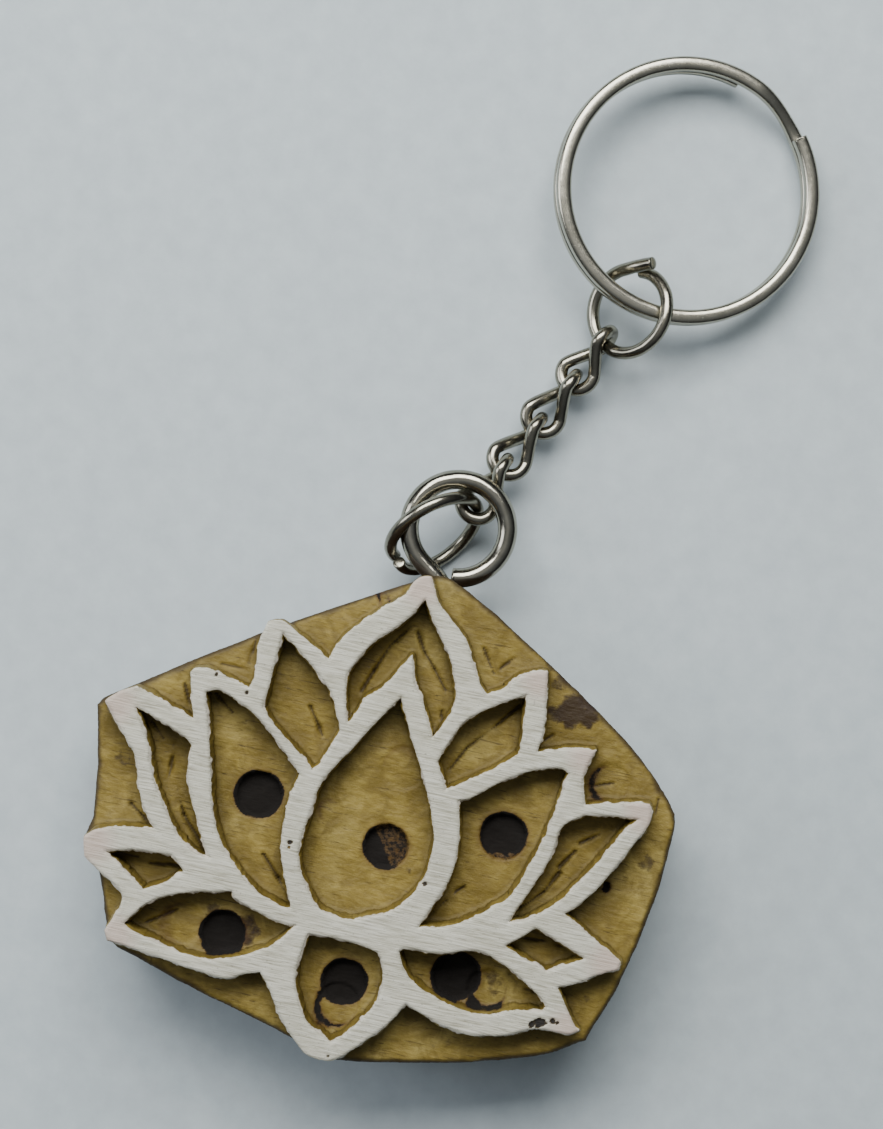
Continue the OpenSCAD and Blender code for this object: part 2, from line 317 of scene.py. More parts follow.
# drilled pits: x, y, radius, depth, how black (1 = all, 0.5 = a black crescent towards the angle in degrees)
pits = np.array([
    [-12.65, 0.3, 2.05, 1.0, 1.0, 0], [9.7, 1.2, 2.05, 1.0, 0.9, 100],
    [-0.45, -1.9, 1.95, 0.9, 0.42, 215], [-13.2, -12.6, 2.0, 1.0, 1.0, 0],
    [-1.6, -14.6, 2.0, 1.0, 1.0, 0], [8.1, -12.0, 2.1, 1.0, 1.0, 0]])
# shallow marks of the drill's first try: x, y, radius, depth, darkness of the ring, angle of its dark side
ghosts = np.array([
    [-17.0, -12.5, 2.0, 0.12, 0.35, 180], [-1.75, -16.9, 2.0, 0.3, 1.0, 215],
    [11.2, -12.7, 1.9, 0.3, 1.0, 250], [18.1, 7.7, 1.9, 0.14, 0.55, 200],
    [-7.1, 19.0, 1.9, 0.12, 0.6, 90], [-4.2, 20.3, 1.0, 0.1, 0.7, 300], [19.4, -1.4, 0.55, 0.5, 0.9, 0],
    [-0.4, 5.3, 2.0, 0.08, 0.3, 90], [-6.1, 0.2, 1.2, 0.06, 0.4, 160]])
# knife cuts left on the ground: x, y to x, y, half width, depth
cuts = np.array([
    [-2.2, 18.1, -3.8, 15.9, 0.22, 0.5], [-3.8, 15.9, -4.8, 13.3, 0.2, 0.45],
    [-4.8, 13.3, -5.5, 11.3, 0.18, 0.35], [-1.7, 17.6, -0.6, 15.8, 0.2, 0.45],
    [-0.6, 15.8, 0.6, 14.5, 0.2, 0.45], [0.6, 14.5, 1.9, 12.9, 0.18, 0.35],
    [1.8, 11.2, 2.2, 10.1, 0.15, 0.3], [-9.7, 9.0, -8.1, 6.6, 0.3, 0.6],
    [-12.4, 12.9, -12.2, 12.3, 0.15, 0.3], [-18.3, 8.4, -16.4, 7.0, 0.18, 0.4],
    [-16.0, 7.0, -15.1, 6.5, 0.15, 0.3], [-11.1, -4.9, -9.3, -6.8, 0.2, 0.45],
    [-9.3, -6.8, -7.9, -8.5, 0.2, 0.4], [-23.4, 4.7, -22.0, 3.4, 0.18, 0.4],
    [-21.0, 3.2, -20.8, 0.0, 0.2, 0.45], [-20.0, -0.5, -18.8, -3.0, 0.2, 0.45],
    [-18.8, -3.0, -16.3, -5.6, 0.2, 0.45], [-24.2, -7.5, -22.0, -7.5, 0.15, 0.35],
    [-20.9, -7.8, -18.0, -7.4, 0.18, 0.4], [-20.2, -13.1, -17.7, -11.4, 0.15, 0.3],
    [8.7, 13.0, 7.1, 10.9, 0.18, 0.4], [7.1, 10.9, 4.8, 8.2, 0.2, 0.45], [4.8, 8.2, 3.7, 6.0, 0.2, 0.4],
    [7.2, -4.0, 6.5, -4.6, 0.15, 0.3], [5.8, -5.6, 4.6, -7.3, 0.18, 0.4],
    [18.1, 3.1, 16.6, 2.0, 0.15, 0.35], [16.3, 1.2, 15.2, -0.5, 0.18, 0.4],
    [15.3, -1.0, 14.3, -3.0, 0.2, 0.45], [14.3, -3.0, 12.3, -5.0, 0.2, 0.45],
    [12.6, -7.4, 15.0, -7.3, 0.15, 0.35], [15.0, -7.3, 18.5, -7.5, 0.15, 0.35],
    [12.7, -10.7, 14.0, -11.8, 0.18, 0.4], [14.0, -11.8, 15.9, -12.0, 0.15, 0.3],
    [-18.4, 11.1, -15.7, 11.0, 0.2, 0.35], [-15.7, 13.9, -15.95, 11.7, 0.15, 0.3],
    [-21.2, 8.6, -20.4, 7.0, 0.15, 0.3], [4.4, 17.4, 5.8, 15.3, 0.15, 0.3],
    [6.3, 15.9, 7.3, 17.0, 0.15, 0.25], [14.1, 11.2, 15.5, 11.1, 0.15, 0.3],
    [11.5, 10.4, 12.2, 11.0, 0.2, 0.3], [16.3, 7.1, 18.4, 7.9, 0.15, 0.25],
    [-23.7, -2.9, -21.6, -4.3, 0.18, 0.35], [22.7, 7.4, 22.7, 6.0, 0.15, 0.25]])
# dark stains soaked into the ground: x, y, radius, strength
stains = np.array([
    [13.4, 13.6, 1.7, 0.95], [14.9, 13.4, 1.2, 0.9], [12.2, 12.8, 1.1, 0.7], [11.9, 15.6, 0.9, 0.6],
    [4.2, -6.3, 0.7, 0.4], [2.2, -3.6, 0.8, 0.45], [-11.0, -11.5, 1.3, 0.7], [-14.5, -10.6, 0.9, 0.55],
    [11.5, -11.7, 1.2, 0.5], [-6.1, 0.2, 0.8, 0.3], [-24.2, 8.2, 1.6, 0.35], [-20.6, 12.2, 1.8, 0.3],
    [-8.9, 18.6, 0.8, 0.5], [-5.6, 20.2, 0.6, 0.5], [22.9, 1.5, 1.0, 0.4], [20.0, -11.6, 0.9, 0.4],
    [-25.4, 1.0, 0.9, 0.4], [4.9, 19.3, 0.8, 0.35], [7.8, -18.2, 1.2, 0.35], [-19.0, -16.3, 0.9, 0.35]])
# places where the paint is gone: x, y, radius, 1 = black or 0 = bare wood
chips = np.array([
    [16.2, -14.1, 0.5, 1], [17.3, -13.7, 0.22, 1], [17.7, -13.8, 0.15, 1], [3.6, -4.1, 0.16, 1],
    [15.5, -14.4, 0.3, 1], [-1.6, -20.9, 0.14, 1], [-8.9, -3.0, 0.2, 1], [-8.85, -3.5, 0.14, 0],
    [-15.4, 9.2, 0.16, 1], [-18.4, 10.2, 0.14, 1], [-9.2, 14.6, 0.12, 1]])


# corners of the face where a rosy colour shows through the paint: x, y
rosyTips = np.array([
    [-2.2, 22.0], [21.5, -7.6], [-27.0, 5.9], [-26.4, -6.6], [-22.8, -14.6],
    [19.2, -14.3], [21.6, 6.4], [10.2, 16.2], [15.8, 10.3]])


def softStep(t):
    # 0 below 0, 1 above 1, 3t^2 - 2t^3 between
    t = np.clip(t, 0, 1)
    return t * t * (3 - 2 * t)


def unsteady(loops, amount, seed):
    # each point is pushed aside by noise along the outline, as a hand-held knife would
    out = []
    for p in loops:
        x, y = p.T
        nx = valueNoise(x + 50, y, 0.9, seed) + 0.6 * valueNoise(x, y + 50, 0.35, seed + 1)
        ny = valueNoise(x + 90, y, 0.9, seed + 2) + 0.6 * valueNoise(x, y + 90, 0.35, seed + 3)
        out.append(p + amount * np.stack([nx, ny], 1))
    return out


def groundShape(x, y, petal, edge):
    # height of the ground: level + broad unevenness + knife facets, raised against the petals,
    # rounded over at the block's edge, minus V cuts (depth * (1 - distance/width)) and drilled pits
    z = carving["groundZ"] + 0.10 * layeredNoise(x, y, 5.0, 3) + 0.035 * layeredNoise(x, y, 0.9, 4)
    patchAngle = 3.0 * valueNoise(x, y, 4.5, 9)
    along = x * np.cos(patchAngle) + y * np.sin(patchAngle)
    z += 0.05 * np.abs(((along / 0.85) % 1.0) - 0.5)
    z += 0.4 * np.clip(1 - np.abs(petal) / 0.5, 0, 1) ** 2
    z -= carving["rimDrop"] * np.clip(1 - edge / (0.5 + 0.2 * valueNoise(x, y, 2.0, 12)), 0, 1) ** 2
    dark = np.zeros_like(z)
    for x0, y0, x1, y1, half, depth in cuts:
        dx, dy = x1 - x0, y1 - y0
        t = np.clip(((x - x0) * dx + (y - y0) * dy) / (dx * dx + dy * dy), 0, 1)
        bend = 0.12 * valueNoise(x, y, 1.3, 21)
        d = np.hypot(x - x0 - t * dx, y - y0 - t * dy) + bend
        v = np.clip(1 - d / (0.8 * half), 0, 1)
        z -= depth * v
        dark = np.maximum(dark, softStep(v * 1.5) ** 1.5)
    burn = np.zeros_like(z)
    for px, py, r, depth, black, side in pits:
        d = np.hypot(x - px, y - py)
        wob = 0.10 * layeredNoise(x, y, 0.8, 33)
        z -= depth * softStep((r - d) / 0.14 + 0.5) * (1 - 0.05 * layeredNoise(x, y, 0.9, 41))
        turned = np.cos(np.arctan2(y - py, x - px) - math.radians(side))
        inner = softStep((r - d) / 0.2 + 0.5)
        part = inner * (1 if black == 1 else softStep((turned * d / r - (1 - 2 * black)) / 0.3 + 0.5))
        ring = np.exp(-((d - r - wob) / 0.17) ** 2)
        ringTone = 1 if black == 1 else 0.35 + 0.65 * softStep(turned + 0.5)
        burn = np.maximum(burn, np.maximum(part, ring * ringTone))
        burn = np.maximum(burn, 0.55 * np.exp(-np.clip(d - r, 0, 9) / 0.3) * inner.max())
    for px, py, r, depth, black, side in ghosts:
        d = np.hypot(x - px, y - py)
        turned = np.cos(np.arctan2(y - py, x - px) - math.radians(side))
        z -= depth * softStep((r - d) / 0.15 + 0.5)
        # a broad ragged crescent on the dark side, a faint line elsewhere
        width = 0.10 + 0.45 * softStep(turned + 0.2) * (0.7 + 0.5 * layeredNoise(x, y, 1.1, 57))
        blotch = np.clip(0.85 + 0.35 * layeredNoise(x, y, 0.8, 58), 0.3, 1)
        crescent = np.exp(-((d - r + 0.25) / width) ** 2) * (0.25 + 0.75 * softStep(turned + 0.4))
        burn = np.maximum(burn, 1.25 * black * blotch * crescent)
    stain = np.zeros_like(z)
    for px, py, r, strength in stains:
        d = np.hypot(x - px, y - py) + 0.5 * layeredNoise(x, y, 1.2, 55)
        stain = np.maximum(stain, strength * softStep(1.45 - d / r))
    return z, dark, burn, stain


print("outlines")
petalLoops = [smoothLoop(p) for p in flatLoops("paint_coat", carving["faceZ"])]
blockLoops = [smoothLoop(p, 8, 14) for p in flatLoops("wood_block", 0.0)]
petalLoops = unsteady(petalLoops, carving["wobble"], 100)
blockLoops = unsteady(blockLoops, 0.05, 140)
print(len(petalLoops), "petal outlines,", len(blockLoops), "block outline")


def bumped(tree, height, distance, strength=1.0, below=None):
    # surface relief of the given real height, in millimetres
    n = addNode(tree, "ShaderNodeBump", {"Strength": strength, "Distance": distance * mm}, {"Height": height})
    if below:
        tree.links.new(below.outputs[0], n.inputs["Normal"])
    return n


def finishMaterial(tree, shader):
    # shader -> material output
    addNode(tree, "ShaderNodeOutputMaterial", links={"Surface": (shader, 0)})


def times(tree, node, factor, out=0):
    # node's output times a number
    return mathNode(tree, "MULTIPLY", (node, out), factor), 0


def roughened(tree, attribute, noise, amount):
    # attribute + (noise - 0.5) * amount, so that a mark ends in a ragged edge
    centred = mathNode(tree, "SUBTRACT", (noise, 0), 0.5)
    return mathNode(tree, "ADD", (attribute, "Fac"), times(tree, centred, amount))


def placed(tree, scale, turn=(0, 0, 0)):
    # object coordinates in millimetres, turned and stretched
    coord = addNode(tree, "ShaderNodeTexCoord")
    return addNode(tree, "ShaderNodeMapping", {"Scale": tuple(s / mm for s in scale), "Rotation": turn},
                   {"Vector": (coord, "Object")})


def noiseNode(tree, where, size, detail=3.0, rough=0.55, distortion=0.0):
    # size is how wide one blotch is, in the units of `where`
    values = {"Scale": 1.0 / size, "Detail": detail, "Roughness": rough, "Distortion": distortion}
    return addNode(tree, "ShaderNodeTexNoise", values, {"Vector": (where, 0)})


def carvedWood(name, ground=("#54441A", "#84702F", "#A69450"), sides=("#21160D", "#3D2B18")):
    # oiled hardwood: olive-brown where it is freshly cut, nearly black where hands and dye reached it
    m, t = newMaterial(name)
    plain = placed(t, (1, 1, 1))
    grain = placed(t, (0.45, 1.7, 1.7), (0, 0, math.radians(38)))
    broad = noiseNode(t, plain, 7.0, 4.0)
    fine = noiseNode(t, grain, 0.55, 6.0, 0.62, 0.4)
    specks = noiseNode(t, plain, 0.35, 3.0, 0.7)
    base = ramp(t, fine, [(0.28, ground[0]), (0.46, ground[1]), (0.66, ground[2])])
    warm = ramp(t, broad, [(0.35, "#6B5A20"), (0.52, "#8B7838"), (0.68, "#AA9A59")])
    even = mixColour(t, 0.62, (base, 0), (warm, 0))
    # hand-darkened smudges a few millimetres wide
    smudge = ramp(t, noiseNode(t, plain, 2.4, 5.0, 0.62, 0.8), [(0.40, 0.0), (0.62, 0.75)])
    mottled = mixColour(t, (smudge, 0), (even, 2), "#66551F")
    # torn fibres: sparse dark hairlines
    fibres = placed(t, (0.35, 5.0, 1.0), (0, 0, math.radians(62)))
    hairs = ramp(t, noiseNode(t, fibres, 0.8, 3.0, 0.6, 0.8), [(0.335, 0.7), (0.375, 0.0)])
    mixed = mixColour(t, (hairs, 0), (mottled, 2), "#3C2E12")
    # pores: small dark flecks
    pores = ramp(t, specks, [(0.24, 1.0), (0.34, 0.0)])
    flecked = mixColour(t, times(t, pores, 0.45), (mixed, 2), "#3A2A14")
    # painted shade: a dark band on the ground in the corners against the petals, and down the petals' walls
    # (attribute corner)
    marks = ("corner", "cutDark", "burn", "stain", "rim", "side", "spill")
    attr = {k: addNode(t, "ShaderNodeAttribute", {"attribute_name": k}) for k in marks}
    paintedCornerShade = mixColour(t, times(t, attr["corner"], 0.8, "Fac"), (flecked, 2), "#4A3D14")
    cutDark = mixColour(t, times(t, attr["cutDark"], 0.85, "Fac"), (paintedCornerShade, 2), "#33250E")
    rimDark = mixColour(t, times(t, attr["rim"], 0.85, "Fac"), (cutDark, 2), "#2A1D10")
    # stains end in a ragged edge
    cloud = noiseNode(t, plain, 1.3, 5.0, 0.68, 0.5)
    soaked = ramp(t, roughened(t, attr["stain"], cloud, 1.1), [(0.36, 0.0), (0.50, 0.55), (0.72, 0.93)])
    stained = mixColour(t, (soaked, 0), (rimDark, 2), "#291A10")
    sideTone = ramp(t, fine, [(0.3, sides[0]), (0.65, sides[1])])
    sided = mixColour(t, (attr["side"], "Fac"), (stained, 2), (sideTone, 0))
    # white paint that ran over the edge of the printing face
    ran = ramp(t, roughened(t, attr["spill"], specks, 0.6), [(0.40, 0.0), (0.62, 0.9)])
    sided = mixColour(t, (ran, 0), (sided, 2), "#CFC9BC")
    # charring eats unevenly into the wood around the drilled pits
    char = ramp(t, roughened(t, attr["burn"], specks, 0.7), [(0.42, 0.0), (0.62, 1.0)])
    scorch = ramp(t, attr["burn"], [(0.05, 0.0), (0.55, 0.8)], out="Fac")
    scorched = mixColour(t, (scorch, 0), (sided, 2), "#4A2F14")
    charred = mixColour(t, (char, 0), (scorched, 2), "#14100D")
    dry = mathNode(t, "ADD", times(t, fine, 0.25), 0.44, clamp=True)
    rough = mathNode(t, "ADD", (dry, 0), times(t, char, 0.35), clamp=True)
    relief = mathNode(t, "ADD", times(t, fine, 0.7), times(t, specks, 0.5))
    bump = bumped(t, (relief, 0), 0.13, 0.8)
    shader = addNode(t, "ShaderNodeBsdfPrincipled", {"IOR": 1.5, "Specular IOR Level": 0.32},
                     {"Base Color": (charred, 2), "Roughness": (rough, 0), "Normal": (bump, 0)})
    finishMaterial(t, shader)
    return m


def wornPaint(name):
    # thin chalky white paint, brushed and sanded: fine streaks, grey specks, wood showing where it wore off
    m, t = newMaterial(name)
    plain = placed(t, (1, 1, 1))
    brushed = placed(t, (0.16, 3.4, 1), (0, 0, math.radians(22)))
    crossed = placed(t, (0.3, 5.0, 1), (0, 0, math.radians(52)))
    broad = noiseNode(t, plain, 3.5, 3.0)
    streak = noiseNode(t, brushed, 0.5, 5.0, 0.65, 0.6)
    scratch = noiseNode(t, crossed, 0.55, 4.0, 0.7, 0.3)
    dust = noiseNode(t, plain, 0.22, 2.0, 0.6)
    tone = ramp(t, broad, [(0.3, "#ABA996"), (0.5, "#BEBCAC"), (0.7, "#CCCABD")])
    streaks = ramp(t, streak, [(0.36, "#878270"), (0.47, "#B9B6A5"), (0.60, "#D4D2C5")])
    white = mixColour(t, 0.68, (tone, 0), (streaks, 0))
    lines = ramp(t, scratch, [(0.34, 1.0), (0.40, 0.0)])
    lined = mixColour(t, times(t, lines, 0.5), (white, 2), "#8F887C")
    specks = ramp(t, dust, [(0.29, 1.0), (0.35, 0.0)])
    specked = mixColour(t, times(t, specks, 0.55), (lined, 2), "#6E685E")
    wear = addNode(t, "ShaderNodeAttribute", {"attribute_name": "wear"})
    soot = addNode(t, "ShaderNodeAttribute", {"attribute_name": "soot"})
    pink = addNode(t, "ShaderNodeAttribute", {"attribute_name": "pink"})
    rosy = mixColour(t, times(t, pink, 0.6, "Fac"), (specked, 2), "#BFA79C")
    bare = ramp(t, roughened(t, wear, streak, 0.9), [(0.52, 0.0), (0.66, 1.0)])
    worn = mixColour(t, (bare, 0), (rosy, 2), "#655229")
    sooty = mixColour(t, (soot, "Fac"), (worn, 2), "#1C1713")
    relief = mathNode(t, "ADD", (streak, 0), times(t, scratch, 0.6))
    lowered = mathNode(t, "SUBTRACT", (relief, 0), (bare, 0))
    bump = bumped(t, (lowered, 0), 0.09, 0.8)
    chalky = {"Roughness": 0.62, "IOR": 1.47, "Specular IOR Level": 0.35}
    shader = addNode(t, "ShaderNodeBsdfPrincipled", chalky, {"Base Color": (sooty, 2), "Normal": (bump, 0)})
    finishMaterial(t, shader)
    return m


def platedSteel(name, tone="#837F72", bright="#969284", roughness=0.22, scuffs=0.4):
    # bright nickel plate: slightly yellow-grey metal with hairline scuffs and a soft unevenness from tumbling
    m, t = newMaterial(name)
    plain = placed(t, (1, 1, 1))
    soft = noiseNode(t, plain, 1.6, 3.0)
    hair = noiseNode(t, placed(t, (0.6, 2.5, 2.5), (0.3, 0.2, 0.8)), 0.4, 3.0, 0.6)
    dirt = noiseNode(t, plain, 0.5, 4.0, 0.7)
    base = ramp(t, soft, [(0.3, tone), (0.7, bright)])
    grime = ramp(t, dirt, [(0.22, 1.0), (0.36, 0.0)])
    dull = mixColour(t, times(t, grime, scuffs * 0.6), (base, 0), "#4C483E")
    rough = mathNode(t, "ADD", times(t, hair, 0.16), roughness - 0.08, clamp=True)
    relief = mathNode(t, "ADD", (soft, 0), times(t, hair, 0.12))
    bump = bumped(t, (relief, 0), 0.03, 0.5)
    shader = addNode(t, "ShaderNodeBsdfPrincipled", {"Metallic": 1.0},
                     {"Base Color": (dull, 2), "Roughness": (rough, 0), "Normal": (bump, 0)})
    finishMaterial(t, shader)
    return m


print("materials")
woodMaterial = carvedWood("Oiled hardwood, knife-cut")
paintMaterial = wornPaint("White paint, brushed and worn")
wireMaterial = platedSteel("Nickel-plated wire, tumbled")
eyeMaterial = platedSteel("Nickel-plated screw eye, bright", "#918D80", "#A5A194", 0.17, 0.35)
ringMaterial = platedSteel("Nickel-plated spring steel, satin", "#A5A192", "#B3AFA1", 0.24, 0.12)


def grid(step):
    # points step apart, in a rectangle a little larger than the block
    xs = np.arange(-29.2, 25.4, step)
    ys = np.arange(-22.4, 23.6, step)
    gx, gy = np.meshgrid(xs, ys, indexing="ij")
    return xs, ys, gx, gy


def burnAt(x, y, edge):
    # same charring as the ground, for walls and paint beside a pit
    return groundShape(x, y, np.full_like(x, -9.0), edge)[2]


def carvedBlock(material):
    # body of the block: ground sheet cut along the block's outline, rounded sides, flat back
    xs, ys, gx, gy = grid(carving["groundStep"])
    edge = signedDistance(gx, gy, blockLoops)
    points, tris, quads, sides = cutSheet(xs, ys, edge)
    # points beside a drilled pit move onto its rim, so the rim is round
    for px, py, r, *_ in pits:
        d = points - (px, py)
        dist = np.linalg.norm(d, axis=1)
        for target in (r - 0.07, r + 0.07):
            near = (np.abs(dist - target) < 0.3 * carving["groundStep"]) & (dist > 0.2)
            points[near] = (px, py) + d[near] / dist[near, None] * target
    x, y = points.T
    petal = signedDistance(x, y, petalLoops, 2.5)
    rimGap = np.clip(signedDistance(x, y, blockLoops), 0, None)
    z, dark, burn, stain = groundShape(x, y, petal, rimGap)
    z = np.where(petal > 0.35, carving["groundZ"] - 0.4, z)
    # painted shade: darkest on the ground right against the petals' walls, plus a fainter band about a
    # millimetre wide
    corner = np.exp(-np.clip(np.abs(petal), 0, 9) / 0.28) + 0.35 * np.exp(-np.abs(petal) / 1.1)
    rim = softStep(1.2 - rimGap / (0.42 + 0.24 * layeredNoise(x, y, 1.6, 61)))
    verts = np.stack([x, y, z], 1)
    outward = outwardAt(points, sides)
    levels = np.array([0.0, 0.25, 0.6, 1.2, 2.2, 3.4, 4.8, 6.2, 7.6, 9.0, 10.2, 11.0, 11.45, 12.0])
    rows = []
    for k, drop in enumerate(levels):
        # sides stand nearly straight: a little belly, knife facets, both edges rounded
        f = drop / 12.0
        level = z * (1 - f)
        push = 0.10 * softStep(drop / 0.6) * (1 if f < 0.9 else 1 - softStep((f - 0.9) / 0.1) * 1.5)
        facets = 0.07 * valueNoise(x + 40, y + level * 1.3, 1.7, 71)
        facets += 0.03 * valueNoise(x + level, y, 0.6, 72)
        push = push + facets * (k > 0)
        push = np.minimum(push, 0.14) - 0.16 * (k > 0)
        rows.append(np.stack([x + outward[:, 0] * push, y + outward[:, 1] * push, level], 1))
    wall, wallQuads, used = curtain(verts, sides, rows)
    n, u = len(verts), len(used)
    # the first row of the wall is the sheet's own outline
    place = np.concatenate([used, n + np.arange(len(wall) - u)])
    allVerts = np.concatenate([verts, wall[u:], [[-2.0, 0.0, 0.0]]])
    centre = len(allVerts) - 1
    lookup = np.full(n, -1)
    lookup[used] = np.arange(u)
    bottom = n + (len(levels) - 2) * u + lookup[sides]
    back = np.stack([bottom[:, 1], bottom[:, 0], np.full(len(bottom), centre)], 1)
    pad = len(allVerts) - n
    side = np.concatenate([np.zeros(n), np.ones(pad)])
    side[n:n + u] = 0.7

    def extend(v, fill):
        # the sheet's values, then one value for every point of the sides and the back
        return np.concatenate([v, np.full(pad, fill)])

    attributes = {"corner": extend(corner, 0), "cutDark": extend(dark, 0), "burn": extend(burn, 0),
                  "stain": extend(stain, 0), "rim": extend(rim, 1), "side": side}
    print("carvedBlock", len(allVerts), "points")
    return meshObject("carvedBlock", allVerts, np.concatenate([tris, back]), material, True, attributes,
                      np.concatenate([quads, place[wallQuads]]))


def petals(woodLook, paintLook):
    # printing face: sheet cut along the petals' outlines, edges rounded over, paint worn through in places;
    # below it the petals' walls go down past the ground, leaning out towards the foot
    xs, ys, gx, gy = grid(carving["paintStep"])
    inside = signedDistance(gx, gy, petalLoops, 3.0)
    points, tris, quads, sides = cutSheet(xs, ys, inside)
    x, y = points.T
    depth = np.clip(signedDistance(x, y, petalLoops, 3.0), 0, None)
    edgeRound = 0.22 + 0.10 * layeredNoise(x, y, 1.4, 81)
    z = carving["faceZ"] - 0.02 + 0.02 * layeredNoise(x, y, 2.2, 82)
    z -= 0.16 * np.clip(1 - depth / edgeRound, 0, 1) ** 2
    z += 0.008 * valueNoise(x * 0.9 + y * 0.4, (y * 0.9 - x * 0.4) * 6, 1.1, 83)
    soot = np.zeros_like(z)
    wear = 0.46 * np.exp(-depth / 0.10) + 0.10 * layeredNoise(x, y, 2.8, 84) * (depth < 1.0)
    for cx, cy, r, black in chips:
        d = np.hypot(x - cx, y - cy) + 0.35 * r * layeredNoise(x, y, 0.5, 85)
        hit = softStep((r - d) / 0.10 + 0.5)
        z -= 0.14 * hit
        soot = np.maximum(soot, hit * black)
        wear = np.maximum(wear, hit * 1.2)
    pink = np.zeros_like(z)
    for tx, ty in rosyTips:
        pink = np.maximum(pink, softStep(1.4 - np.hypot(x - tx, y - ty) / 2.2))
    verts = np.stack([x, y, z], 1)
    marks = {"wear": wear, "soot": soot, "pink": pink}
    face = meshObject("paintFace", verts, tris, paintLook, True, marks, quads)
    outward = outwardAt(points, sides)
    # where a petal reaches the block's edge its wall ends on the ground and doesn't lean out
    room = np.clip(signedDistance(x, y, blockLoops, 4.0) / 0.9, 0, 1)
    levels = np.array([0.0, 0.12, 0.35, 0.9, 1.6, 2.3, 2.8, 3.3, 4.2])
    rows = []
    for k, drop in enumerate(levels):
        level = z - np.minimum(drop, 3.25 + 0.95 * room)
        lean = 0.13 * softStep(drop / 0.25) + 0.10 * drop / 3.0
        rough = (0.09 * layeredNoise(x * 1.4 + 17, y * 1.4 + level * 0.7, 1.0, 91)
                 + 0.05 * valueNoise(x * 3, y * 3 + level * 0.4, 0.6, 92))
        push = (lean + rough) * (k > 0) * (0.15 + 0.85 * room)
        rows.append(np.stack([x + outward[:, 0] * push, y + outward[:, 1] * push, level], 1))
    wall, wallQuads, used = curtain(verts, sides, rows)
    wx, wy, wz = wall.T
    low = np.clip((carving["faceZ"] - wz) / 3.0, 0, 1)
    runLength = 0.35 + 0.5 * np.clip(layeredNoise(wx, wy, 1.3, 93), 0, 1)
    spill = softStep(1.2 - (carving["faceZ"] - wz) / runLength)
    burn = burnAt(wx, wy, np.full_like(wx, 9.0)) * softStep((low - 0.2) / 0.5)
    # painted shade down the petals' walls: a little everywhere, most at their foot where they meet the ground
    walls = meshObject("petalWalls", wall, None, woodLook, True,
                       {"corner": 0.35 + 0.65 * softStep((low - 0.5) / 0.5), "cutDark": 0 * wx, "burn": burn,
                        "stain": 0 * wx, "rim": 0 * wx, "side": 0 * wx, "spill": spill}, wallQuads)
    print("petals", len(verts), "points on the face,", len(wall), "on the walls")
    return face, walls


print("block")
block = carvedBlock(woodMaterial)
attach(block, "stamp")
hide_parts("wood_block")
paintFace, petalWalls = petals(woodMaterial, paintMaterial)
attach(paintFace, "stamp")
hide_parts("paint_coat")
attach(petalWalls, "stamp")
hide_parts("wood_block")


def unit(v):
    # v / |v|
    return v / np.linalg.norm(v, axis=-1, keepdims=True)


def turned(points, at, turn):
    # points turned about X, then Y, then Z (degrees), then moved: the same order as the CAD part's placing
    rx, ry, rz = np.radians(turn)
    mx = np.array([[1, 0, 0], [0, math.cos(rx), -math.sin(rx)], [0, math.sin(rx), math.cos(rx)]])
    my = np.array([[math.cos(ry), 0, math.sin(ry)], [0, 1, 0], [-math.sin(ry), 0, math.cos(ry)]])
    mz = np.array([[math.cos(rz), -math.sin(rz), 0], [math.sin(rz), math.cos(rz), 0], [0, 0, 1]])
    return points @ (mz @ my @ mx).T + np.array(at)


def roundSection(r, sides=28):
    # circle: (r cos a, r sin a)
    a = np.arange(sides) / sides * 2 * math.pi
    return np.stack([r * np.cos(a), r * np.sin(a)], 1)


def flatSection(width, height, corner, crown=0.05, sides=44):
    # flattened wire: a superellipse-like rounded box; |cos|^p and |sin|^p with p small gives flat faces
    a = (np.arange(sides) + 0.5) / sides * 2 * math.pi
    c, s = np.cos(a), np.sin(a)
    p = 2 * corner / min(width, height) + 0.12
    u = np.sign(c) * np.abs(c) ** p * width / 2
    v = np.sign(s) * np.abs(s) ** p * (height / 2 - crown * (2 * u / width) ** 2)
    return np.stack([u, v], 1)


def resample(line, count):
    # points at equal distances along the line
    step = np.linalg.norm(np.diff(line, axis=0), axis=1)
    at = np.concatenate([[0], np.cumsum(step)])
    want = np.linspace(0, at[-1], count)
    return np.stack([np.interp(want, at, line[:, k]) for k in range(3)], 1)


